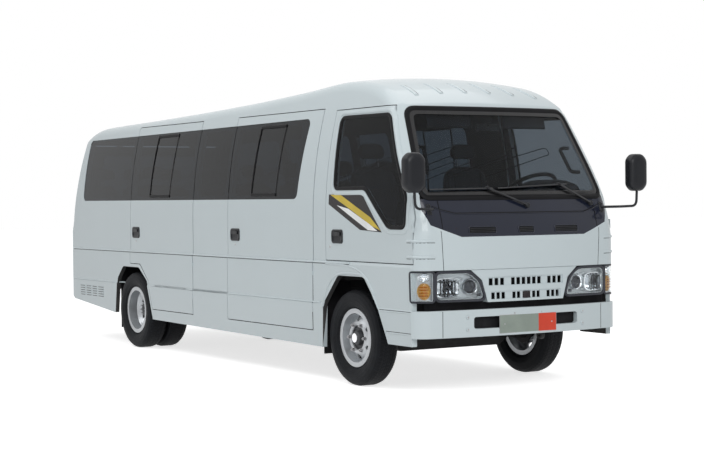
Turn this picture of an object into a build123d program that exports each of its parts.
from build123d import *
import math
import os

# A minibus body on a cab-over light truck chassis.  Millimetres, +Z up.
# The vehicle faces -Y and its left side is +X.  Stations along Y are measured
# from the front axle; save() then moves the origin to the ground under the
# middle of the whole length.

os.makedirs("parts", exist_ok=True)

# ---------------------------------------------------------------- driving sizes
WHEELBASE = 3860.0
FRONT_OVERHANG = 985.0         # front axle to the foremost body skin
REAR_OVERHANG = 1628.0         # rear axle to the rearmost body skin
HALF_WIDTH = 897.0             # half the width over the lower side panels
ROOF_CROWN = 2301.0            # highest point of the roof, over the cab
ROOF_DROP = 105.0              # how much lower the roof is by the fifth row
WALL = 40.0                    # thickness of body walls and doors
TYRE_RADIUS = 354.0
TYRE_WIDTH = 190.0
RIM_RADIUS = 216.0             # over the rim flanges
RIM_WIDTH = 140.0              # over the rim flanges
FRONT_FLANGE_X = 834.0         # outer flange of the front rims
REAR_FLANGE_X = 863.0          # outer flange of the outer rear rims
TWIN_SPACING = 215.0           # between the centres of twin tyres

# ---------------------------------------------------------------- body heights
SILL_Z = 240.0                 # lowest edge of the lower side panels
LOWER_CREASE_Z = 596.0
BELT_Z = 904.0
BULGE_Z = 1200.0               # the sides lean inwards above this height
GARNISH_Z = 1106.0
GLASS_Z = 1380.0               # lower edge of the windshield and side glass
GLASS_TOP_Z = 2000.0
DOOR_TOP_Z = 2042.0
ROOF_SPLIT_Z = 2085.0
FLOOR_Z = 780.0                # top of the saloon floor
CAB_FLOOR_Z = 906.0            # top of the cab floor
FLOOR_THICK = 30.0

# ---------------------------------------------------------------- clearances
DOOR_GAP = 6.0                 # shut line round a door
HINGE_GAP = 10.0               # shut line at the hinged edge
TRAILING_RELIEF = 12.0         # inner step on a door's closing edge
PIN_FIT = 0.06                 # radial clearance on pins and spindles
SEAT_FIT = 0.3                 # where a piece rests against another
STEER_CLEAR = 12.0             # from the steered tyre to what is near it

# ---------------------------------------------------------------- body corners
FRONT_R = 5300.0               # the front seen from above
REAR_R = 7000.0                # the rear seen from above
FRONT_CORNER_R = 130.0
REAR_CORNER_R = 120.0
CROWN_R = 5200.0               # the roof seen from the front
ROOF_EDGE_R = 110.0
SIDE_R = 3224.0                # the side seen from the front, above the bulge
UPPER_STEP = 13.0              # the sides above the belt stand in by this much

FRONT_Y = -FRONT_OVERHANG
REAR_AXLE_Y = WHEELBASE
REAR_Y = WHEELBASE + REAR_OVERHANG
UPPER_HALF = HALF_WIDTH - UPPER_STEP

# ---------------------------------------------------------------- mirrors
MIRROR_X = 990.0
MIRROR_Y = FRONT_Y - 47.0
MIRROR_Z = 1552.0
MIRROR_SIZE = (190.0, 84.0, 276.0)

FRONT_REACH = MIRROR_Y - MIRROR_SIZE[1] / 2
MIDDLE_Y = (FRONT_REACH + REAR_Y) / 2


# ---------------------------------------------------------------- small helpers
def block(x, y, z):
    """A box from three (low, high) pairs."""
    size = [high - low for low, high in (x, y, z)]
    middle = [(high + low) / 2 for low, high in (x, y, z)]
    return Pos(*middle) * Box(*size)


def both_sides(shape):
    """A piece on the left and its mirror image on the right."""
    return Compound([shape, shape.mirror(Plane.YZ)])


def mirrored(shape):
    return shape.mirror(Plane.YZ)


def outline(points, radius=0.0):
    """A closed face from corner points, its corners rounded by radius."""
    if radius:
        return make_face(FilletPolyline(*points, radius=radius, close=True))
    return make_face(Polyline(*points, close=True))


def along_x(points, x0, x1, radius=0.0):
    """A Y-Z outline drawn out from x0 to x1."""
    return extrude(Plane.YZ.offset(x0) * outline(points, radius), amount=x1 - x0)


def along_y(points, y0, y1, radius=0.0):
    """An X-Z outline drawn out from y0 to y1."""
    return extrude(Plane.XZ.offset(-y1) * outline(points, radius), amount=y1 - y0)


def along_z(points, z0, z1, radius=0.0):
    """An X-Y outline drawn out from z0 to z1."""
    return extrude(Plane.XY.offset(z0) * outline(points, radius), amount=z1 - z0)


def rod_x(x0, x1, y, z, r):
    rod = Cylinder(r, abs(x1 - x0), rotation=(0, 90, 0))
    return Pos((x0 + x1) / 2, y, z) * rod


def rod_y(y0, y1, x, z, r):
    rod = Cylinder(r, abs(y1 - y0), rotation=(90, 0, 0))
    return Pos(x, (y0 + y1) / 2, z) * rod


def rod_z(z0, z1, x, y, r):
    return Pos(x, y, (z0 + z1) / 2) * Cylinder(r, abs(z1 - z0))


def turned_x(profile, x, y, z):
    """A ring turned about a line along X, from (axial, radius) points."""
    face = make_face(Polyline(*profile, close=True))
    return Pos(x, y, z) * revolve(face, Axis.X)


def save(name, shape):
    """Write one node, moved so that the origin is under the middle."""
    moved = Pos(0, -MIDDLE_Y, 0) * shape
    solids = moved.solids()
    whole = solids[0] if len(solids) == 1 else Compound(solids)
    export_step(whole, f"parts/{name}.step")


# ---------------------------------------------------------------- body surfaces
def side_x(z):
    """Half the width of the body skin at height z."""
    if z >= BULGE_Z:
        return UPPER_HALF - SIDE_R + math.sqrt(SIDE_R**2 - (z - BULGE_Z) ** 2)
    if z >= BELT_Z + 8:
        return UPPER_HALF
    if z >= LOWER_CREASE_Z + 6:
        t = (z - LOWER_CREASE_Z - 6) / (BELT_Z - LOWER_CREASE_Z - 14)
        return HALF_WIDTH - 6 + 2 * min(t, 1)
    t = (z - SILL_Z) / (LOWER_CREASE_Z - 6 - SILL_Z)
    return HALF_WIDTH - 7 + 7 * min(t, 1)


def roof_z(y):
    """Height of the roof's centre line at station y, a smooth curve."""
    rear = ROOF_CROWN - ROOF_DROP
    knots = [
        (FRONT_Y - 115, ROOF_CROWN - 851),
        (FRONT_Y + 225, ROOF_CROWN - 451),
        (FRONT_Y + 425, ROOF_CROWN - 266),
        (FRONT_Y + 605, ROOF_CROWN - 141),
        (FRONT_Y + 835, ROOF_CROWN - 51),
        (FRONT_Y + 1135, ROOF_CROWN - 7),
        (FRONT_Y + 1405, ROOF_CROWN),
        (FRONT_Y + 1885, ROOF_CROWN - 33),
        (REAR_Y - 3800, rear + 32),
        (REAR_Y - 2900, rear),
        (REAR_Y - 1800, rear - 28),
        (REAR_Y - 800, rear - 48),
        (REAR_Y - 500, rear - 68),
        (REAR_Y - 250, rear - 146),
        (REAR_Y - 50, rear - 296),
        (REAR_Y + 400, rear - 796),
    ]
    last = len(knots) - 1
    i = max(k for k in range(last) if knots[k][0] <= y or k == 0)

    def slope(k):
        a, b = max(k - 1, 0), min(k + 1, last)
        return (knots[b][1] - knots[a][1]) / (knots[b][0] - knots[a][0])

    (y0, z0), (y1, z1) = knots[i], knots[i + 1]
    span = y1 - y0
    t = (y - y0) / span
    start = (2 * t**3 - 3 * t**2 + 1) * z0 + (t**3 - 2 * t**2 + t) * span * slope(i)
    end = (3 * t**2 - 2 * t**3) * z1 + (t**3 - t**2) * span * slope(i + 1)
    return start + end


def cross_section(inset, bottom, top):
    """The body seen from the front: creased below, leaning in above."""
    right = [
        (side_x(SILL_Z), bottom),
        (HALF_WIDTH, LOWER_CREASE_Z - 6),
        (HALF_WIDTH - 6, LOWER_CREASE_Z + 6),
        (HALF_WIDTH - 4, BELT_Z - 8),
        (UPPER_HALF, BELT_Z + 8),
        (UPPER_HALF, BULGE_Z),
    ]
    right = [(x - inset, z) for x, z in right]
    middle_z = (BULGE_Z + top) / 2
    radius = SIDE_R - inset
    centre = UPPER_HALF - SIDE_R
    lean = [
        (centre + math.sqrt(radius**2 - (z - BULGE_Z) ** 2), z) for z in (middle_z, top)
    ]
    left = [(-x, z) for x, z in reversed(right)]
    edges = [
        *Polyline(*right).edges(),
        ThreePointArc(right[-1], *lean).edge(),
        Line(lean[1], (-lean[1][0], top)).edge(),
        ThreePointArc((-lean[1][0], top), (-lean[0][0], middle_z), left[0]).edge(),
        *Polyline(*left).edges(),
        Line(left[-1], right[0]).edge(),
    ]
    face = Plane.XZ * Face(Wire(edges))
    return Pos(0, MIDDLE_Y, 0) * extrude(face, amount=REAR_Y - FRONT_Y, both=True)


def plan(z, half, front, rear, inset):
    """The body seen from above at height z, a closed wire."""
    half, front, rear = half - inset, front + inset, rear - inset

    def end(tip, big, corner, way):
        """Tangent points of one rounded end; way is -1 in front, 1 at the rear."""
        centre = tip - way * big
        cx = half - corner
        cy = centre + way * math.sqrt((big - corner) ** 2 - cx**2)
        grow = big / (big - corner)
        touch = (cx * grow, centre + (cy - centre) * grow)
        angle = math.atan2(touch[1] - cy, touch[0] - cx) / 2
        bend = (cx + corner * math.cos(angle), cy + corner * math.sin(angle))
        return touch, bend, (half, cy)

    touch, bend, side = end(front, FRONT_R - inset, FRONT_CORNER_R - inset, -1)
    touch2, bend2, side2 = end(rear, REAR_R - inset, REAR_CORNER_R - inset, 1)

    def flip(p):
        return (-p[0], p[1])

    wire = Wire(
        [
            ThreePointArc(flip(touch), (0, front), touch).edge(),
            ThreePointArc(touch, bend, side).edge(),
            Line(side, side2).edge(),
            ThreePointArc(side2, bend2, touch2).edge(),
            ThreePointArc(touch2, (0, rear), flip(touch2)).edge(),
            ThreePointArc(flip(touch2), flip(bend2), flip(side2)).edge(),
            Line(flip(side2), flip(side)).edge(),
            ThreePointArc(flip(side), flip(bend), flip(touch)).edge(),
        ]
    )
    return Pos(0, 0, z) * wire


UPPER_START_Z = 1080.0


def lower_plan(inset):
    """The upright lower body, from above."""
    low = plan(SILL_Z - 140, HALF_WIDTH + 2, FRONT_Y, REAR_Y, inset)
    return extrude(make_face(low), amount=UPPER_START_Z - SILL_Z + 140, dir=(0, 0, 1))


def upper_plan(inset):
    """The raked windshield and the leaning rear, from above."""
    levels = [
        (UPPER_START_Z, 0, 0),
        (1240, 28, 30),
        (1373, 80, 57),
        (1600, 195, 108),
        (1800, 309, 153),
        (2030, 440, 213),
        (2120, 491, 236),
        (2210, 542, 259),
        (2300, 593, 283),
        (2400, 650, 308),
    ]
    wires = []
    for z, rake, lean in levels:
        half = HALF_WIDTH + 2 if z == UPPER_START_Z else side_x(z) + 5
        wires.append(plan(z, half, FRONT_Y + rake, REAR_Y - lean, inset))
    return Solid.make_loft(wires)


def dome(inset):
    """Everything under the crowned roof."""
    step = 250.0
    reach = HALF_WIDTH + 103.0
    wires = []
    count = int((REAR_Y - FRONT_Y) / step) + 3
    for i in range(count):
        y = FRONT_Y - 115 + step * i
        top = roof_z(y) - inset
        radius = CROWN_R - inset
        edge = top - radius + math.sqrt(radius**2 - reach**2)
        section = Wire(
            [
                ThreePointArc((-reach, edge), (0, top), (reach, edge)).edge(),
                *Polyline((reach, edge), (reach, 0), (-reach, 0), (-reach, edge)).edges(),
            ]
        )
        wires.append(Pos(0, y, 0) * (Plane.XZ * section))
    return Solid.make_loft(wires)


def body(inset, bottom=SILL_Z):
    """The whole body as one solid, its skin moved in by inset."""
    whole = cross_section(inset, bottom, 2400.0)
    whole = whole & (lower_plan(inset) + upper_plan(inset))
    whole = (whole & dome(inset)).solids()[0]
    rim = []
    for edge in whole.edges():
        if min((edge @ t).Z for t in (0, 0.5, 1)) > 1940:
            rim.append(edge)
    return whole.fillet(ROOF_EDGE_R - inset, rim)


def low_body(inset, bottom=SILL_Z):
    """The body below the windshield, its skin moved in by inset."""
    section = cross_section(inset, bottom, 2400.0)
    return (section & lower_plan(inset)).solids()[0]


OUTER = body(0)
INNER = body(WALL, bottom=SILL_Z - 100)
SHELL = OUTER - INNER
GLASS_INSET = 4.0
GLASS_GAP = 8.0                # between a door's glass and the fixed glass beside it
GLASS_THICK = 6.0
GLASS_BACK = body(GLASS_INSET + GLASS_THICK)
GLASS_LAYER = body(GLASS_INSET) - GLASS_BACK
GLASS_BED = body(GLASS_INSET + GLASS_THICK + 2 * SEAT_FIT)
RELIEF_BODY = body(12, bottom=SILL_Z - 100)
LOW_OUTER = low_body(0)

BIG = 3000.0

# ---------------------------------------------------------------- side outlines
CAB_DOOR_FRONT = FRONT_Y + 140
CAB_DOOR_REAR = 325.0
CAB_DOOR_BOTTOM = BELT_Z + 19
DOOR_1 = (520.0, 1930.0)
DOOR_2 = (2600.0, 3930.0)
PASSENGER_DOOR_Z = (385.0, DOOR_TOP_Z + 20)
BAND_FRONT = 775.0
BAND_REAR = 5100.0
PILLAR = 60.0                  # from a door edge or band end to the window hole


def cab_door_points(front, rear, top, bottom):
    """The cab door's outline, each edge moved outwards by its margin."""
    y = CAB_DOOR_FRONT - front
    top_z = DOOR_TOP_Z + top
    return [
        (y, CAB_DOOR_BOTTOM - bottom),
        (y, 1240),
        (y + 45, 1380),
        (y + 220, 1690),
        (y + 370, 1975),
        (y + 405, top_z),
        (CAB_DOOR_REAR + rear, top_z),
        (CAB_DOOR_REAR + rear, CAB_DOOR_BOTTOM - bottom),
    ]


def door_rect(span, front, rear, top, bottom):
    """A passenger door's outline, each edge moved outwards by its margin."""
    y0, y1 = span[0] - front, span[1] + rear
    z0, z1 = PASSENGER_DOOR_Z[0] - bottom, PASSENGER_DOOR_Z[1] + top
    return [(y0, z0), (y0, z1), (y1, z1), (y1, z0)]


def arch_points(grow=0.0):
    """The rear wheel arch."""
    y = REAR_AXLE_Y
    return [
        (y - 445 - grow, 150),
        (y - 420 - grow, 290),
        (y - 295 - grow, 640),
        (y - 117 - grow, 758 + grow),
        (y + 241 + grow, 758 + grow),
        (y + 375 + grow, 640),
        (y + 435 + grow, 306),
        (y + 445 + grow, 150),
    ]


FRONT_ARCH = [
    (-640, 150),
    (-535, 350),
    (-408, 598),
    (-215, 812),
    (145, 812),
    (356, 598),
    (378, 260),
    (385, 150),
]

UNDERSIDE = [
    (-BIG, 350),
    (-450, 350),
    (-450, 262),
    (378, 262),
    (REAR_AXLE_Y - 420, 290),
    (REAR_AXLE_Y + 435, 306),
    (REAR_Y - 175, 395),
    (REAR_Y - 40, 470),
    (BIG * 3, 470),
    (BIG * 3, -100),
    (-BIG, -100),
]

CAB_WINDOW = [
    (215, 1450),
    (-215, 1450),
    (-530, 1168),
    (-750, 1168),
    (-765, 1380),
    (-590, 1690),
    (-435, 1985),
    (238, 1990),
]

BAND = [
    (BAND_FRONT, GLASS_Z),
    (BAND_FRONT - 85, GLASS_TOP_Z),
    (BAND_REAR - 20, GLASS_TOP_Z - 20),
    (BAND_REAR, GLASS_Z),
]

REAR_SPLIT = [
    (REAR_Y - 175, 0),
    (REAR_Y - 195, UPPER_START_Z),
    (REAR_Y - 400, ROOF_SPLIT_Z),
    (REAR_Y + 300, ROOF_SPLIT_Z),
    (REAR_Y + 300, 0),
]


def window_holes():
    """The see-through holes behind the glass band, between the pillars."""
    spans = [
        (BAND_FRONT + 45, DOOR_1[1] - PILLAR),
        (DOOR_1[1] + DOOR_GAP + PILLAR, DOOR_2[0] - HINGE_GAP - PILLAR),
        (DOOR_2[0] + PILLAR, DOOR_2[1] - PILLAR),
        (DOOR_2[1] + DOOR_GAP + PILLAR, BAND_REAR - PILLAR),
    ]
    holes = []
    for y0, y1 in spans:
        z0, z1 = GLASS_Z + 32, GLASS_TOP_Z - 42
        points = [(y0, z0), (y0, z1), (y1, z1), (y1, z0)]
        holes.append(along_x(points, -BIG, BIG, 50))
    return holes


def right(points, radius=0.0):
    return along_x(points, -BIG, 0, radius)


def left(points, radius=0.0):
    return along_x(points, 0, BIG, radius)


cab_door_opening = along_x(cab_door_points(HINGE_GAP, DOOR_GAP, DOOR_GAP, DOOR_GAP), -BIG, BIG)
cab_door_leaf = along_x(cab_door_points(0, 0, 0, 0), -BIG, BIG)
cab_window_cut = along_x(CAB_WINDOW, -BIG, BIG, 38)
band_cut = along_x(BAND, -BIG, BIG, 55)
front_arch_cut = along_x(FRONT_ARCH, -BIG, BIG, 60)
rear_arch_cut = along_x(arch_points(), -BIG, BIG, 60)
underside_cut = along_x(UNDERSIDE, -BIG, BIG)
rear_part = along_x(REAR_SPLIT, -BIG, BIG)

WINDSHIELD = [(-815, 1373), (-706, 2027), (706, 2027), (815, 1373)]
glass_rebate = band_cut - GLASS_BED
window_cuts = window_holes()


def glazed(wall):
    """Rebate a wall for the glass band and open the window holes."""
    wall -= glass_rebate
    for hole in window_cuts:
        wall -= hole
    return wall


windshield_cut = along_y(WINDSHIELD, -BIG, 0, 45)
windshield_cut += along_y([(-815, 1373), (-800, 1450), (800, 1450), (815, 1373)], -BIG, 0)

GARNISH = [
    (-546, GARNISH_Z),
    (-680, GARNISH_Z + 48),
    (-779, GARNISH_Z + 85),
    (-822, GARNISH_Z + 190),
    (-815, 1373),
    (815, 1373),
    (822, GARNISH_Z + 190),
    (779, GARNISH_Z + 85),
    (680, GARNISH_Z + 48),
    (546, GARNISH_Z),
]
garnish_cut = along_y(GARNISH, -BIG, 0)


# ---------------------------------------------------------------- body panels
LAMP_BAND = (645.0, 874.0)     # heights of lamps and grille


def hinge_barrels(x, y, heights, radius, length):
    """Upright hinge knuckles on one line: (body side, door side)."""
    fixed, moving = [], []
    for z in heights:
        fixed.append(rod_z(z, z + length, x, y, radius))
        moving.append(rod_z(z + length + SEAT_FIT, z + 2 * length, x, y, radius))
    return fixed, moving


BARREL_R = HINGE_GAP / 2 - 0.4
BARREL_LEN = 34.0
CAB_HINGE = (UPPER_HALF - 1, CAB_DOOR_FRONT - HINGE_GAP / 2)
CAB_HINGE_Z = (960.0, 1140.0)
SIDE_HINGE_X = HALF_WIDTH - 1
SIDE_HINGE_Z = (520.0, 800.0)


def leaf_with_knuckles(leaf, x, y, knuckles, side):
    """Join the door's knuckles to its leading edge with small webs."""
    for k in knuckles:
        box = k.bounding_box()
        web = block(
            sorted((x - side * 8, x + side * 0)),
            (y, y + HINGE_GAP / 2 + 4),
            (box.min.Z, box.max.Z),
        )
        leaf += k + web
    return leaf


def frame_with_knuckles(frame, x, y, knuckles, side):
    for k in knuckles:
        box = k.bounding_box()
        web = block(
            sorted((x - side * 8, x + side * 0)),
            (y - HINGE_GAP / 2 - 4, y),
            (box.min.Z, box.max.Z),
        )
        frame += k + web
    return frame


def make_cab_door():
    """The left cab door and its glass, hinged at the front edge."""
    half = block((0, BIG), (-BIG, BIG), (0, BIG))
    leaf = (SHELL & cab_door_leaf & half) - cab_window_cut
    relief = block(
        (-BIG, BIG), (CAB_DOOR_REAR - TRAILING_RELIEF, CAB_DOOR_REAR + 1), (0, BIG)
    )
    leaf -= relief & RELIEF_BODY
    glass = GLASS_LAYER & cab_window_cut & half
    x, y = CAB_HINGE
    _, moving = hinge_barrels(x, y, CAB_HINGE_Z, BARREL_R, BARREL_LEN)
    return leaf_with_knuckles(leaf, x, y, moving, 1), glass


def make_passenger_door(span):
    """One passenger door in the right side, hinged at its front edge."""
    half = block((-BIG, 0), (-BIG, 2 * BIG), (0, BIG))
    prism = right(door_rect(span, 0, 0, 0, 0))
    leaf = glazed(SHELL & prism & half)
    leaf -= along_x(arch_points(34), -BIG, 0, 60)
    relief = block((-BIG, 0), (span[1] - TRAILING_RELIEF, span[1] + 1), (0, BIG))
    leaf -= relief & RELIEF_BODY
    glass = GLASS_LAYER & band_cut & prism
    x, y = -SIDE_HINGE_X, span[0] - HINGE_GAP / 2
    _, moving = hinge_barrels(x, y, SIDE_HINGE_Z, BARREL_R, BARREL_LEN)
    return leaf_with_knuckles(leaf, x, y, moving, -1), glass


def make_plain_side():
    """The left side wall with its arches and window band, and the band's glass."""
    zone = block((500, BIG), (CAB_DOOR_REAR + DOOR_GAP, 2 * BIG), (0, ROOF_SPLIT_Z))
    wall = (SHELL & zone) - rear_part - front_arch_cut - rear_arch_cut
    wall = glazed(wall - underside_cut)
    glass = (GLASS_LAYER & band_cut & zone) - rear_part
    return wall, glass


def make_door_side(wall, glass):
    """Open the passenger doorways in a right side wall and its glass."""
    for span in (DOOR_1, DOOR_2):
        hole = right(door_rect(span, HINGE_GAP, DOOR_GAP, DOOR_GAP, DOOR_GAP))
        wall -= hole - along_x(arch_points(28), -BIG, 0, 60)
        glass -= right(door_rect(span, GLASS_GAP, GLASS_GAP, GLASS_GAP, GLASS_GAP))
        x, y = -SIDE_HINGE_X, span[0] - HINGE_GAP / 2
        fixed, _ = hinge_barrels(x, y, SIDE_HINGE_Z, BARREL_R, BARREL_LEN)
        wall = frame_with_knuckles(wall, x, y, fixed, -1)
    return wall, glass


def make_roof():
    """The crowned roof, with its middle part where that dips to the rear."""
    roof = SHELL & block((-BIG, BIG), (-BIG, 3 * BIG), (ROOF_SPLIT_Z, BIG))
    dip = block((-500, 500), (CAB_DOOR_REAR + DOOR_GAP, 3 * BIG), (1900, ROOF_SPLIT_Z))
    return roof + ((SHELL & dip) - rear_part)


def make_cab_sides():
    """Panels under the cab doors, with the front arches and the step panels."""
    zone = block(
        (-BIG, BIG),
        (CAB_DOOR_FRONT + 7, CAB_DOOR_REAR + DOOR_GAP),
        (0, CAB_DOOR_BOTTOM - DOOR_GAP),
    )
    hollow = block((-500, 500), (-BIG, BIG), (0, BIG))
    return (SHELL & zone) - front_arch_cut - underside_cut - hollow


def make_cab_upper():
    """Windshield pillars, the header over them and the rails over the doors."""
    zone = block(
        (-BIG, BIG), (-BIG, CAB_DOOR_REAR + DOOR_GAP), (1373, ROOF_SPLIT_Z)
    )
    return (SHELL & zone) - cab_door_opening - windshield_cut


def make_front_panel():
    """The white front under the windshield, with the door pillars."""
    zone = block((-BIG, BIG), (-BIG, -400), (LAMP_BAND[1] + 2, 1373))
    panel = (SHELL & zone) - cab_door_opening - garnish_cut
    low_rear = block(
        (-BIG, BIG), (CAB_DOOR_FRONT + 7, 0), (0, CAB_DOOR_BOTTOM - DOOR_GAP)
    )
    panel -= low_rear
    for side in (-1, 1):
        x, y = side * CAB_HINGE[0], CAB_HINGE[1]
        fixed, _ = hinge_barrels(x, y, CAB_HINGE_Z, BARREL_R, BARREL_LEN)
        panel = frame_with_knuckles(panel, x, y, fixed, side)
    return panel


# ---------------------------------------------------------------- tailgate
TAILGATE_HALF = 690.0
TAILGATE_Z = (640.0, 1930.0)
TAILGATE_WINDOW = [(-610, 1390), (-570, 1850), (570, 1850), (610, 1390)]


def tailgate_outline(side, top, bottom):
    x = TAILGATE_HALF + side
    z0, z1 = TAILGATE_Z[0] - bottom, TAILGATE_Z[1] + top
    return [(-x, z0), (-x, z1), (x, z1), (x, z0)]


def rear_skin_y(z, x):
    """The rear skin's station at height z and width x."""
    probe = block((x - 0.5, x + 0.5), (REAR_Y - 700, REAR_Y + 50), (z - 0.5, z + 0.5))
    return (OUTER & probe).bounding_box().max.Y


TAILGATE_HINGE_X = (-430.0, 400.0)
TAILGATE_HINGE_Z = TAILGATE_Z[1] + HINGE_GAP / 2
TAILGATE_HINGE_Y = rear_skin_y(TAILGATE_HINGE_Z, 430.0) - 1
TAILGATE_SWING_R = 24.0        # groove over the tailgate, where its top edge swings


def tailgate_knuckles():
    """Level hinge knuckles over the tailgate: (body side, door side)."""
    fixed, moving = [], []
    y, z = TAILGATE_HINGE_Y, TAILGATE_HINGE_Z
    for x in TAILGATE_HINGE_X:
        fixed.append(rod_x(x, x + BARREL_LEN, y, z, BARREL_R))
        moving.append(rod_x(x + BARREL_LEN + SEAT_FIT, x + 2 * BARREL_LEN, y, z, BARREL_R))
        web = (y - 9, y)
        fixed[-1] += block((x, x + BARREL_LEN), web, (z, z + TAILGATE_SWING_R + 5))
        span = (x + BARREL_LEN + SEAT_FIT, x + 2 * BARREL_LEN)
        moving[-1] += block(span, web, (z - HINGE_GAP / 2 - 5, z))
    return fixed, moving


def make_rear():
    """The rear wall, the tailgate and its glass, and the tail lamps."""
    rear = (SHELL & rear_part) - underside_cut
    hole = along_y(tailgate_outline(DOOR_GAP, HINGE_GAP, DOOR_GAP), 4000, REAR_Y + 200)
    leaf_cut = along_y(tailgate_outline(0, 0, 0), 4000, REAR_Y + 200)
    window = along_y(TAILGATE_WINDOW, 4000, REAR_Y + 200, 60)
    lamp_zone = Compound(
        [
            block((725, 815), (REAR_Y - 300, REAR_Y + 50), (720, 1060)),
            block((-815, -725), (REAR_Y - 300, REAR_Y + 50), (720, 1060)),
        ]
    )
    fixed, moving = tailgate_knuckles()
    gate = (rear & leaf_cut) - window
    for k in moving:
        gate += k
    glass = GLASS_LAYER & rear_part & window
    wall = rear - hole
    reach = TAILGATE_HALF + DOOR_GAP
    wall -= rod_x(-reach, reach, TAILGATE_HINGE_Y, TAILGATE_HINGE_Z, TAILGATE_SWING_R)
    lamps = wall & lamp_zone
    wall -= lamp_zone
    for k in fixed:
        wall += k
    return wall, gate, glass, lamps


# ---------------------------------------------------------------- front pieces
def low_layer(a, b):
    """The lower front's skin between two insets."""
    return low_body(a, SILL_Z) - low_body(b, SILL_Z - 100)


LAMP_BACK = 62.0               # how far the lamps reach in from the skin
PLATE_THICK = 20.0
BUMPER_Z = (407.0, 597.0)
BUMPER_PROUD = 10.0            # how far the bumper stands out from the skin
HEADLAMP = [(338, 645), (385, 800), (475, 874), (760, 874), (760, 645)]
CHANNEL_DEPTH = 12.0           # how far the grille's slot rows are set in
# each row: centre height, slot height, half length, then (middle, count, pitch, width)
SLOT_ROWS = (
    (786.0, 50.0, 334.0, ((-258, 3, 48, 33), (0, 6, 46.5, 33), (258, 3, 48, 33))),
    (687.0, 46.0, 312.0, ((-244, 3, 43, 30), (-88, 2, 40, 29), (88, 2, 40, 29), (244, 3, 43, 30))),
)
GRILLE = [(-336, 645), (-383, 801), (-473, 874), (473, 874), (383, 801), (336, 645)]


def make_front_pieces():
    """Lamps, grille, bumper and the black structure that carries them."""
    front_zone = block((-BIG, BIG), (-BIG, CAB_DOOR_FRONT + 5), LAMP_BAND)
    layer = low_layer(3, LAMP_BACK) & front_zone
    headlamps = layer & (along_y(HEADLAMP, -BIG, 0))
    headlamps += mirrored(headlamps)
    corner = layer & block((765, BIG), (-BIG, 0), LAMP_BAND)
    corner += mirrored(corner)

    grille = (low_layer(5, LAMP_BACK) & along_y(GRILLE, -BIG, 0)).solids()[0]
    hollow = [(-322, 660), (-366, 801), (-452, 862), (452, 862), (366, 801), (322, 660)]
    grille -= low_layer(18, LAMP_BACK + 1) & along_y(hollow, -BIG, 0)
    channel_skin = LOW_OUTER - low_body(CHANNEL_DEPTH)
    for z, height, half, groups in SLOT_ROWS:
        channel = block((-half, half), (-BIG, 0), (z - height / 2 - 3, z + height / 2 + 8))
        grille -= channel_skin & channel
        for middle, count, pitch, width in groups:
            for i in range(count):
                x = middle + (i - (count - 1) / 2) * pitch
                grille -= block((x - width / 2, x + width / 2), (-BIG, 0), (z - height / 2, z + height / 2))

    plate = low_layer(LAMP_BACK, LAMP_BACK + PLATE_THICK)
    plate &= block((-800, 800), (-BIG, -820), (420, LAMP_BAND[1]))
    bumper_zone = block((-BIG, BIG), (-BIG, CAB_DOOR_FRONT + 5), BUMPER_Z)
    slot = along_y([(-461, 462), (-461, 546), (461, 546), (461, 462)], -BIG, 0, 20)
    bumper = (low_layer(-BUMPER_PROUD, 30) & bumper_zone) - slot
    backing = low_layer(30, LAMP_BACK) & block((-480, 480), (-BIG, 0), (440, 566))
    plate += backing
    return headlamps, corner, grille, plate, bumper


def make_mirrors():
    """Two door mirrors on bent arms from the corners of the cowl."""
    width, depth, height = MIRROR_SIZE
    cut = 42.0
    w, h = width / 2, height / 2
    points = [
        (-w, -h + cut), (-w, h - cut), (-w + cut, h), (w - cut, h),
        (w, h - cut), (w, -h + cut), (w - cut, -h), (-w + cut, -h),
    ]
    head = Pos(MIRROR_X, MIRROR_Y, MIRROR_Z) * along_y(points, -depth / 2, depth / 2)
    head = fillet(head.faces().sort_by(Axis.Y)[0].edges(), 14)
    foot = (790, -868, 1300)
    route = FilletPolyline(
        (foot[0] - 30, foot[1] + 45, foot[2]),
        (foot[0] + 60, MIRROR_Y + 20, foot[2] + 4),
        (MIRROR_X - 10, MIRROR_Y, foot[2] + 8),
        (MIRROR_X, MIRROR_Y, MIRROR_Z - h + 20),
        radius=[30, 34],
    )
    section = Plane(origin=route @ 0, z_dir=route % 0) * Circle(11)
    arm = sweep(section, path=route) - OUTER
    arm = arm.solids().sort_by(Axis.Z)[-1]
    return both_sides(head + arm)


# ---------------------------------------------------------------- cab inside
DOOR_SWING_R = 104.0           # the inner front edge of a cab door swings inside this


def make_dashboard():
    """The dashboard, shaped to the front wall, with a lip for the column."""
    profile = [
        (FRONT_Y - 20, 1040), (FRONT_Y - 20, 1340), (-800, 1356), (-700, 1372), (-600, 1352),
        (-560, 1290), (-570, 1180), (-640, 1060), (-760, 1040),
    ]
    width = UPPER_HALF - WALL - 6
    dash = along_x(profile, -width, width, 8)
    dash &= body(WALL + SEAT_FIT)
    dash -= column_rod(-700, 50, COLUMN_R + SEAT_FIT)
    beside_doors = block((-width, width), (CAB_DOOR_FRONT - HINGE_GAP, 0), (0, BIG))
    inward = width - DOOR_GAP
    dash -= beside_doors - block((-inward, inward), (-BIG, 0), (0, BIG))
    x, y = CAB_HINGE
    for side in (-1, 1):
        dash -= rod_z(0, BIG, side * x, y, DOOR_SWING_R)
    return dash


WHEEL_CENTRE = (430.0, -470.0, 1440.0)
WHEEL_TILT = 32.0              # steering wheel plane off level
WHEEL_R = 200.0
COLUMN_R = 34.0
column_plane = Plane(
    origin=WHEEL_CENTRE,
    x_dir=(1, 0, 0),
    z_dir=(0, math.sin(math.radians(WHEEL_TILT)), math.cos(math.radians(WHEEL_TILT))),
)


def column_rod(low, high, radius):
    rod = Pos(0, 0, (low + high) / 2) * Cylinder(radius, high - low)
    return column_plane * rod


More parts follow.
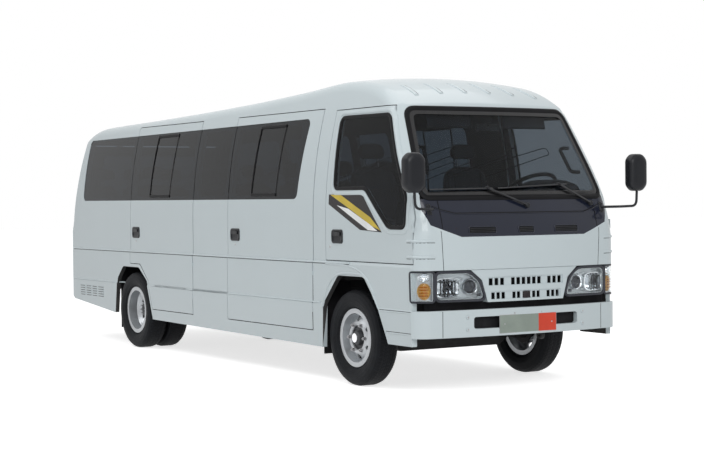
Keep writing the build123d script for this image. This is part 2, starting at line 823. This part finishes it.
def make_steering():
    """The steering wheel and the column that carries it."""
    wheel = Torus(WHEEL_R, 15)
    hub = Pos(0, 0, -28) * Cylinder(44, 36)
    for angle in (90, 210, 330):
        spoke = Pos(WHEEL_R / 2 + 8, 0, -16) * Box(WHEEL_R - 34, 34, 12)
        hub += Rot(0, 0, angle) * spoke
    wheel = column_plane * (wheel + hub)
    foot = (CAB_FLOOR_Z + 6 - WHEEL_CENTRE[2]) / column_plane.z_dir.Z
    column = column_rod(foot, -46 - SEAT_FIT, COLUMN_R)
    column &= block((-BIG, BIG), (-BIG, BIG), (CAB_FLOOR_Z, BIG))
    return wheel, column


def seat(x, y, floor, width, cushion_top, back_top, depth=470.0):
    """Soft cushion and backrest, and the metal stand under them."""
    cushion = along_x(
        [(y, cushion_top - 130), (y - 8, cushion_top), (y + depth, cushion_top - 22),
         (y + depth, cushion_top - 130)],
        x - width / 2, x + width / 2, 20,
    )
    back = along_x(
        [(y + depth + SEAT_FIT, cushion_top - 130), (y + depth + SEAT_FIT, cushion_top - 10),
         (y + depth + 96, back_top), (y + depth + 170, back_top), (y + depth + 112, cushion_top - 130)],
        x - width / 2, x + width / 2, 20,
    )
    stand = block((x - width / 2 + 40, x + width / 2 - 40), (y + 40, y + depth - 10),
                  (cushion_top - 160, cushion_top - 130 - SEAT_FIT))
    for leg_x in (x - width / 2 + 70, x + width / 2 - 70):
        stand += block((leg_x - 18, leg_x + 18), (y + 60, y + depth - 30),
                       (floor, cushion_top - 160))
    return cushion, back, stand


SALOON_LEFT = [1150.0 + 800 * i for i in range(4)]
SALOON_RIGHT = [2000.0, 3480.0]
LAST_ROW_Y = 4560.0
SEAT_HEIGHT = 960.0            # top of a backrest over the saloon floor


def make_seats():
    cab, saloon, stands = [], [], []
    for x in (-430.0, 430.0):
        c, b, s = seat(x, -190, CAB_FLOOR_Z, 470, CAB_FLOOR_Z + 330, CAB_FLOOR_Z + 930, 440)
        cab += [c, b]
        stands.append(s)
    inner = side_x(FLOOR_Z + SEAT_HEIGHT) - WALL - 12
    places = [(inner - 440, y, 880) for y in SALOON_LEFT]
    places += [(-inner + 225, y, 450) for y in SALOON_RIGHT]
    places += [(inner - 440, LAST_ROW_Y, 880), (-inner + 330, LAST_ROW_Y, 660)]
    for x, y, width in places:
        c, b, s = seat(x, y, FLOOR_Z, width, FLOOR_Z + 430, FLOOR_Z + SEAT_HEIGHT)
        saloon += [c, b]
        stands.append(s)
    return Compound(cab), Compound(saloon), Compound(stands)


# ---------------------------------------------------------------- floors
WELL_DEPTH_X = 560.0
WELLS = [(DOOR_1[0] + 700, DOOR_1[1] - 70), (DOOR_2[0] + 70, REAR_AXLE_Y - 560)]
WELL_TREAD_Z = 420.0


def make_floor():
    """The saloon floor with a stepwell behind each passenger door."""
    half = side_x(FLOOR_Z - 15) - WALL - SEAT_FIT
    floor = block((-half, half), (CAB_DOOR_REAR + 195, REAR_Y - 70), (FLOOR_Z - FLOOR_THICK, FLOOR_Z))
    floor &= low_body(WALL + SEAT_FIT, SILL_Z - 100)
    for y0, y1 in WELLS:
        edge = -(side_x(WELL_TREAD_Z) - WALL - 8)
        outer = block((edge, -WELL_DEPTH_X + 12), (y0 - 12, y1 + 12), (WELL_TREAD_Z - 20, FLOOR_Z))
        inner = block((-BIG, -WELL_DEPTH_X), (y0, y1), (WELL_TREAD_Z, BIG))
        step = block((edge, -WELL_DEPTH_X), (y0, y1), (WELL_TREAD_Z, WELL_TREAD_Z + 180))
        step = step & block((-700, -WELL_DEPTH_X), (y0, y1), (0, BIG))
        floor = (floor + outer) - inner
        floor += step
    return floor


def make_cab_floor():
    """The cab floor, the engine cover on it and the step up from the saloon."""
    half = side_x(1000) - WALL - SEAT_FIT
    rear = CAB_DOOR_REAR + 195
    floor = block((-half, half), (FRONT_Y + 30, rear), (CAB_FLOOR_Z - FLOOR_THICK, CAB_FLOOR_Z))
    floor += block((-half, half), (rear - 20, rear), (FLOOR_Z - FLOOR_THICK, CAB_FLOOR_Z - 5))
    cover = block((-175, 175), (-560, rear - 40), (CAB_FLOOR_Z - 10, CAB_FLOOR_Z + 170))
    cover = fillet(cover.edges().filter_by(Axis.Z) + cover.faces().sort_by(Axis.Z)[-1].edges(), 25)
    room = block((-160, 160), (-545, rear - 55), (CAB_FLOOR_Z - 40, CAB_FLOOR_Z + 155))
    floor = (floor + cover) - room
    floor &= low_body(WALL + SEAT_FIT, SILL_Z - 100)
    return floor


# ---------------------------------------------------------------- chassis
RAIL_X = (330.0, 400.0)
RAIL_Z = (470.0, 620.0)
SUBFRAME_Z = FLOOR_Z - FLOOR_THICK - 60
SPRING_WIDTH = 70.0
FRONT_SPRING = (-560.0, 620.0)
REAR_SPRING = (REAR_AXLE_Y - 640, REAR_AXLE_Y + 640)
FRONT_SPRING_Z = 330.0         # spring centre over the front beam
REAR_SPRING_Z = 430.0          # spring centre over the rear axle
SPRING_EYE_Z = 440.0
SPRING_THICK = 36.0
TOW_EYE_R = 16.0
AXLE_Z = TYRE_RADIUS


FRONT_CROSSMEMBER_Y = FRONT_Y + 140
REAR_CROSSMEMBER_Y = REAR_Y - 120
CROSSMEMBERS = (1000.0, 1700.0, 2700.0, 3350.0, 4400.0, REAR_CROSSMEMBER_Y)
SILLS = (600.0, 1120.0, 2020.0, 2560.0, 3390.0, 4360.0, 4850.0, REAR_Y - 210)
MEMBER = 60.0                  # width of crossmembers and sills
TOW_EYE_THICK = 28.0
TOW_EYE_LEAD = 17.0            # how far the eyes stand out past the middle of the crossmembers
TOW_EYE_Z = BUMPER_Z[0] - 26   # low enough for a pin to slide in under the bumper
TOW_EYE_FRONT = (214.0, FRONT_CROSSMEMBER_Y - TOW_EYE_LEAD, TOW_EYE_Z)
TOW_EYE_REAR = (0.0, REAR_CROSSMEMBER_Y + TOW_EYE_LEAD, TOW_EYE_Z)


def behind_front_plate():
    """Everything behind the black structure that carries the front pieces."""
    return low_body(LAMP_BACK + PLATE_THICK + SEAT_FIT, SILL_Z - 100)


def make_rails():
    """Two rails with the cab mounts on them and the spring hangers below."""
    x = RAIL_X
    z0, z1 = RAIL_Z
    rear = REAR_Y - 90
    rail = block(x, (FRONT_Y, rear), (z0, z1))
    rail += block(x, (CAB_DOOR_REAR + 215, rear), (z1, SUBFRAME_Z))
    for y in (FRONT_Y + 235, CAB_DOOR_REAR + 95):
        rail += block(x, (y - 35, y + 35), (z1, CAB_FLOOR_Z - FLOOR_THICK))
    for y in (*FRONT_SPRING, *REAR_SPRING):
        top_of_eye = SPRING_EYE_Z + SPRING_THICK / 2
        rail += block(x, (y - 30, y + 30), (top_of_eye, z0))
    return both_sides(rail & behind_front_plate())


def make_crossmembers():
    """Boxes between the two rails."""
    inner = RAIL_X[0]
    half = MEMBER / 2
    top = RAIL_Z[1]
    boxes = [block((-inner, inner), (y - half, y + half), (top - MEMBER, top)) for y in CROSSMEMBERS]
    y = FRONT_CROSSMEMBER_Y
    boxes.append(block((-inner, inner), (y - half, y + half), (RAIL_Z[0] + 10, top - 10)))
    return Compound(boxes)


def make_sills():
    """Boxes across the rails that carry the saloon floor."""
    z = (SUBFRAME_Z, FLOOR_Z - FLOOR_THICK)
    half = MEMBER / 2
    reach = side_x(SUBFRAME_Z + 30) - WALL - SEAT_FIT - 2
    boxes = [block((-reach, reach), (y - half, y + half), z) for y in SILLS]
    reach = RAIL_X[1] + 40
    for y in (REAR_AXLE_Y - 150, REAR_AXLE_Y + 150):
        boxes.append(block((-reach, reach), (y - half, y + half), z))
    return Compound(boxes)


def make_tow_eyes():
    """A lug with a round eye under the front and the rear crossmember."""
    lugs = []
    for place, top in ((TOW_EYE_FRONT, RAIL_Z[0] + 10), (TOW_EYE_REAR, RAIL_Z[1] - MEMBER)):
        x, y, z = place
        half = TOW_EYE_THICK / 2
        lug = rod_x(x - half, x + half, y, z, 2 * TOW_EYE_R)
        lug += block((x - half, x + half), (y - 28, y + 28), (z, top))
        lugs.append(lug - rod_x(x - half, x + half, y, z, TOW_EYE_R))
    return Compound(lugs)


def leaf_spring(span, middle_z, eye_z):
    """One bowed spring pack under a rail."""
    middle = (span[0] + span[1]) / 2
    t = SPRING_THICK / 2
    top = ThreePointArc((span[0], eye_z + t), (middle, middle_z + t), (span[1], eye_z + t))
    low = ThreePointArc((span[0], eye_z - t), (middle, middle_z - t), (span[1], eye_z - t))
    ends = [Line(top @ 0, low @ 0).edge(), Line(top @ 1, low @ 1).edge()]
    face = make_face([*top.edges(), *low.edges(), *ends])
    return extrude(Plane.YZ.offset(RAIL_X[0]) * face, amount=SPRING_WIDTH)


def make_springs():
    pair = [
        leaf_spring(FRONT_SPRING, FRONT_SPRING_Z, SPRING_EYE_Z),
        leaf_spring(REAR_SPRING, REAR_SPRING_Z, SPRING_EYE_Z),
    ]
    return Compound([*pair, *[mirrored(s) for s in pair]])


# ---------------------------------------------------------------- front axle
KINGPIN_X = 660.0
KINGPIN_R = 16.0
BOSS_Z = (312.0, 392.0)
YOKE = 34.0                    # thickness of each yoke arm
YOKE_GAP = 0.5                 # between the boss and the yoke arms
FRONT_TYRE_X = FRONT_FLANGE_X - RIM_WIDTH / 2
REAR_TYRE_X = REAR_FLANGE_X - RIM_WIDTH / 2
SPINDLE_R = 24.0
ARM_Y = 170.0                  # steering arm behind the kingpin
ARM_PIN_R = 8.0
PIN_PLAY = 0.4                 # free play at the far end of the tie rod
ARM_THICK = 20.0


def spring_underside(y, span, middle_z, eye_z):
    """Height of a spring's lower face at station y."""
    half = (span[1] - span[0]) / 2
    rise = eye_z - middle_z
    radius = (half**2 + rise**2) / (2 * rise)
    away = y - (span[0] + span[1]) / 2
    return middle_z - SPRING_THICK / 2 + radius - math.sqrt(radius**2 - away**2)


def make_front_axle():
    """A dropped beam with a kingpin standing in the boss at each end."""
    seat_z = spring_underside(0, FRONT_SPRING, FRONT_SPRING_Z, SPRING_EYE_Z) - SEAT_FIT
    half = [
        (0, 236), (0, seat_z - 6), (RAIL_X[0] - 20, seat_z - 6), (RAIL_X[0] - 20, seat_z),
        (RAIL_X[1] + 20, seat_z), (RAIL_X[1] + 20, seat_z - 6),
        (KINGPIN_X - 100, BOSS_Z[1] - 12), (KINGPIN_X, BOSS_Z[1] - 12),
        (KINGPIN_X, BOSS_Z[0] + 12), (KINGPIN_X - 90, BOSS_Z[0] + 6), (RAIL_X[1] + 60, 236),
    ]
    beam = along_y(half, -35, 35)
    beam += rod_z(BOSS_Z[0], BOSS_Z[1], KINGPIN_X, 0, 36)
    beam += mirrored(beam)
    for x in (-KINGPIN_X, KINGPIN_X):
        beam += rod_z(BOSS_Z[0] - YOKE, BOSS_Z[1] + YOKE, x, 0, KINGPIN_R)
    return beam


def make_knuckle():
    """The left knuckle: a fork on the kingpin, a spindle and a steering arm."""
    knuckle = None
    for z0, z1 in (
        (BOSS_Z[0] - YOKE_GAP - YOKE, BOSS_Z[0] - YOKE_GAP),
        (BOSS_Z[1] + YOKE_GAP, BOSS_Z[1] + YOKE_GAP + YOKE),
    ):
        arm = rod_z(z0, z1, KINGPIN_X, 0, 34)
        arm += block((KINGPIN_X, KINGPIN_X + 60), (-34, 34), (z0, z1))
        knuckle = arm if knuckle is None else knuckle + arm
    z0, z1 = BOSS_Z[0] - YOKE_GAP - YOKE, BOSS_Z[1] + YOKE_GAP + YOKE
    knuckle += block((KINGPIN_X + 38, KINGPIN_X + 62), (-48, 48), (z0, z1))
    knuckle += rod_x(KINGPIN_X + 60, FRONT_TYRE_X + 66, 0, AXLE_Z, SPINDLE_R)
    knuckle += rod_x(KINGPIN_X + 50, KINGPIN_X + 66, 0, AXLE_Z, 120)
    plate_z = (z0, z0 + ARM_THICK)
    reach = along_z(
        [(KINGPIN_X - 24, 0), (KINGPIN_X - 20, ARM_Y), (KINGPIN_X + 20, ARM_Y), (KINGPIN_X + 24, 0)],
        *plate_z,
    )
    reach += rod_z(*plate_z, KINGPIN_X, ARM_Y, 20)
    reach += rod_z(plate_z[0] - ARM_THICK - 6, plate_z[1], KINGPIN_X, ARM_Y, ARM_PIN_R)
    knuckle += reach
    knuckle -= rod_z(0, BIG, KINGPIN_X, 0, KINGPIN_R + PIN_FIT)
    return knuckle


def make_tie_rod():
    """The rod between the steering arms, which run straight back so that all stay parallel."""
    z1 = BOSS_Z[0] - YOKE_GAP - YOKE - SEAT_FIT
    z0 = z1 - ARM_THICK
    x = KINGPIN_X
    rod = rod_x(-x + 14, x - 14, ARM_Y, (z0 + z1) / 2, ARM_THICK / 2 - 1)
    rod += rod_z(z0, z1, x, ARM_Y, 18) + rod_z(z0, z1, -x, ARM_Y, 18)
    rod -= rod_z(z0 - 10, z1 + 10, x, ARM_Y, ARM_PIN_R + PIN_FIT)
    rod -= rod_z(z0 - 10, z1 + 10, -x, ARM_Y, ARM_PIN_R + PIN_PLAY)
    return rod


# ---------------------------------------------------------------- wheels
BEAD_R = RIM_RADIUS - 26
FLANGE = 8.0


def tyre(x, y):
    """One tyre, round at the shoulders, its bore on the rim."""
    half = TYRE_WIDTH / 2
    bead = RIM_WIDTH / 2 - FLANGE
    side = [
        (bead, BEAD_R), (bead, RIM_RADIUS + 2), (half - 12, RIM_RADIUS + 22), (half, 278),
        (half, TYRE_RADIUS - 48), (half - 7, TYRE_RADIUS - 22), (half - 26, TYRE_RADIUS - 6),
        (half - 48, TYRE_RADIUS),
    ]
    profile = side + [(-a, r) for a, r in reversed(side)]
    return turned_x(profile, x, y, AXLE_Z)


def rim_ring(x, y):
    """The rolled steel rim, without its disc."""
    w = RIM_WIDTH / 2
    profile = [
        (-w, RIM_RADIUS), (-w + FLANGE, RIM_RADIUS), (-w + FLANGE, BEAD_R), (w - FLANGE, BEAD_R),
        (w - FLANGE, RIM_RADIUS), (w, RIM_RADIUS), (w, BEAD_R - 8), (-w, BEAD_R - 8),
    ]
    return turned_x(profile, x, y, AXLE_Z)


HAND_HOLES = 6
HAND_HOLE_R = 19.0


def hand_holes(x0, x1, y, ring):
    holes = []
    for i in range(HAND_HOLES):
        a = math.radians(360 / HAND_HOLES * (i + 0.5))
        holes.append(rod_x(x0, x1, y + ring * math.cos(a), AXLE_Z + ring * math.sin(a), HAND_HOLE_R))
    return holes


def make_front_rim():
    """The left front wheel: its disc bulges outwards round the hub."""
    x = FRONT_TYRE_X
    disc = [
        (2, BEAD_R - 6), (10, BEAD_R - 6), (16, 168), (34, 140), (50, 116), (50, 92), (32, 84),
        (32, 58), (62, 50), (66, 30), (66, SPINDLE_R + PIN_FIT), (-18, SPINDLE_R + PIN_FIT),
        (-18, 70), (24, 92), (40, 100), (40, 112), (26, 134), (8, 162),
    ]
    rim = rim_ring(x, 0) + turned_x(disc, x, 0, AXLE_Z)
    for hole in hand_holes(x, x + 60, 0, 140):
        rim -= hole
    cap = rod_x(x + 66 + SEAT_FIT, x + RIM_WIDTH / 2 + 8, 0, AXLE_Z, 34)
    cap += rod_x(x + 62, x + 66 + SEAT_FIT, 0, AXLE_Z, 34) - rod_x(x + 50, x + 66 + SEAT_FIT, 0, AXLE_Z, 26)
    return rim + cap


REAR_DISC_X = REAR_TYRE_X - TWIN_SPACING / 2
REAR_SPINDLE_R = 40.0


def make_rear_rims():
    """The left twin rims, bolted back to back on one hub."""
    y = REAR_AXLE_Y
    x = REAR_DISC_X
    rims = rim_ring(REAR_TYRE_X, y) + rim_ring(REAR_TYRE_X - TWIN_SPACING, y)
    reach = TWIN_SPACING / 2
    for way in (1, -1):
        bore = REAR_SPINDLE_R + PIN_FIT
        disc = [
            (0, bore), (0, 112), (way * 30, 140),
            (way * (reach - 34), BEAD_R - 12), (way * (reach - 20), BEAD_R - 6),
            (way * (reach - 10), BEAD_R - 6), (way * (reach - 26), BEAD_R - 20),
            (way * 38, 132), (way * 9, 104), (way * 9, bore),
        ]
        rims += turned_x(disc, x, y, AXLE_Z)
    for hole in hand_holes(x - 60, x + 60, y, 148):
        rims -= hole
    rims += rod_x(x + 9, x + 96, y, AXLE_Z, 62) - rod_x(x, x + 80, y, AXLE_Z, REAR_SPINDLE_R + PIN_FIT)
    rims += rod_x(x - 120, x - 9, y, AXLE_Z, 80) - rod_x(x - 130, x, y, AXLE_Z, REAR_SPINDLE_R + PIN_FIT)
    return rims


def make_rear_axle():
    """The driven axle: tube, differential, spindles and spring pads."""
    y = REAR_AXLE_Y
    tube = rod_x(-REAR_DISC_X + 125, REAR_DISC_X - 125, y, AXLE_Z, 56)
    tube += rod_x(-REAR_DISC_X - 76, REAR_DISC_X + 76, y, AXLE_Z, REAR_SPINDLE_R)
    tube += Pos(0, y, AXLE_Z) * Sphere(132)
    tube += rod_y(y - 190, y, 0, AXLE_Z, 60)
    top = spring_underside(y, REAR_SPRING, REAR_SPRING_Z, SPRING_EYE_Z) - SEAT_FIT
    for x in (-RAIL_X[1], RAIL_X[0]):
        tube += block((x, x + SPRING_WIDTH), (y - 50, y + 50), (AXLE_Z, top))
    return tube


# ---------------------------------------------------------------- drive line
ENGINE_Y = (-330.0, 480.0)
GEARBOX_REAR = 900.0
SHAFT_START_Z = 470.0


def make_engine():
    """The engine as one plain block."""
    low = block((-200, 200), (ENGINE_Y[0] + 60, ENGINE_Y[1] - 40), (400, 480))
    return block((-270, 270), ENGINE_Y, (480, CAB_FLOOR_Z - FLOOR_THICK - 20)) + low


def make_drive_line():
    """Gearbox and propeller shaft, from the engine to the rear axle."""
    box = block((-130, 130), (ENGINE_Y[1] + SEAT_FIT, GEARBOX_REAR), (400, 545))
    start = Vector(0, GEARBOX_REAR - 5, SHAFT_START_Z)
    end = Vector(0, REAR_AXLE_Y - 190 - SEAT_FIT, AXLE_Z)
    line = end - start
    shaft_plane = Plane(origin=start, z_dir=line)
    shaft = shaft_plane * (Pos(0, 0, line.length / 2) * Cylinder(42, line.length))
    shaft &= block((-BIG, BIG), (-BIG, REAR_AXLE_Y - 190 - SEAT_FIT), (0, BIG))
    return box + shaft


def make_exhaust():
    """Downpipe, silencer and tailpipe between the rails."""
    x, z = -215.0, 500.0
    pipe = rod_y(ENGINE_Y[1] + SEAT_FIT, 3250, x, z, 26)
    pipe += rod_y(1880, 2460, x, z, 82)
    return pipe


def make_fuel_tank():
    tank = block((RAIL_X[1] + SEAT_FIT, 790), (1260, 1960), (RAIL_Z[0] - 40, SUBFRAME_Z - 10))
    tank = fillet(tank.edges().filter_by(Axis.Y), 30)
    return tank


FLAP_THICK = 8.0


def make_mud_flaps():
    """Rubber flaps behind the wheels, hung from the floor."""
    tyre_inner = FRONT_TYRE_X - TYRE_WIDTH / 2
    reach = math.hypot(TYRE_RADIUS, FRONT_TYRE_X + TYRE_WIDTH / 2 - KINGPIN_X)
    y = reach + STEER_CLEAR
    outer = side_x(300) - WALL - SEAT_FIT
    front = block((tyre_inner - 60, outer), (y, y + FLAP_THICK), (205, 700))
    top = FLOOR_Z - FLOOR_THICK - SEAT_FIT
    front += block((tyre_inner - 60, outer), (y, CAB_DOOR_REAR + 194), (700, top))
    y = REAR_AXLE_Y + TYRE_RADIUS + 30
    rear = block((500, outer), (y, y + FLAP_THICK), (165, FLOOR_Z - FLOOR_THICK - SEAT_FIT))
    return both_sides(Compound([front, rear]))


# ---------------------------------------------------------------- write parts
cab_door, cab_glass = make_cab_door()
save("cab_door_left", cab_door)
save("cab_door_left_glass", cab_glass)
save("cab_door_right", mirrored(cab_door))
save("cab_door_right_glass", mirrored(cab_glass))

for name, span in (("passenger_door_front", DOOR_1), ("passenger_door_rear", DOOR_2)):
    leaf, pane = make_passenger_door(span)
    save(name, leaf)
    save(name + "_glass", pane)

wall_left, panes_left = make_plain_side()
wall_right, panes_right = make_door_side(mirrored(wall_left), mirrored(panes_left))
save("body_side_left", wall_left)
save("body_side_right", wall_right)
save("side_glass", Compound([*panes_left.solids(), *panes_right.solids()]))
save("roof", make_roof())
save("cab_sides", make_cab_sides())
save("cab_upper", make_cab_upper())
save("windshield", GLASS_LAYER & windshield_cut & block((-BIG, BIG), (-BIG, 0), (1373, BIG)))
save("front_panel", make_front_panel())
save("front_garnish", (OUTER - RELIEF_BODY) & garnish_cut)

rear_wall, gate, gate_glass, tail_lamps = make_rear()
save("rear_wall", rear_wall)
save("tailgate", gate)
save("tailgate_glass", gate_glass)
save("tail_lamps", tail_lamps)

headlamps, corner_lamps, grille, front_structure, bumper = make_front_pieces()
save("front_lamps", Compound([*headlamps.solids(), *corner_lamps.solids()]))
save("grille", grille)
save("front_structure", front_structure)
save("front_bumper", bumper)
save("exterior_mirrors", make_mirrors())

steering_wheel, steering_column = make_steering()
save("steering_wheel", steering_wheel)
save("steering_column", steering_column)
save("dashboard", make_dashboard())
cab_seats, saloon_seats, seat_stands = make_seats()
save("cab_seats", cab_seats)
save("passenger_seats", saloon_seats)
save("seat_stands", seat_stands)
save("floor_pan", make_floor())
save("cab_floor", make_cab_floor())

save("chassis_rails", make_rails())
save("crossmembers", make_crossmembers())
save("body_sills", make_sills())
save("tow_eyes", make_tow_eyes())
save("leaf_springs", make_springs())
save("front_axle", make_front_axle())
save("rear_axle", make_rear_axle())
save("engine_block", make_engine())
save("drive_line", make_drive_line())
save("exhaust", make_exhaust())
save("fuel_tank", make_fuel_tank())
save("mud_flaps", make_mud_flaps())

knuckle = make_knuckle()
save("knuckle_left", knuckle)
save("knuckle_right", mirrored(knuckle))
save("tie_rod", make_tie_rod())
front_rim = make_front_rim()
front_tyre = tyre(FRONT_TYRE_X, 0)
rear_rims = make_rear_rims()
rear_tyres = Compound(
    [tyre(REAR_TYRE_X, REAR_AXLE_Y), tyre(REAR_TYRE_X - TWIN_SPACING, REAR_AXLE_Y)]
)
for side, place in (("left", lambda s: s), ("right", mirrored)):
    save(f"front_rim_{side}", place(front_rim))
    save(f"front_tyre_{side}", place(front_tyre))
    save(f"rear_rims_{side}", place(rear_rims))
    save(f"rear_tyres_{side}", place(rear_tyres))
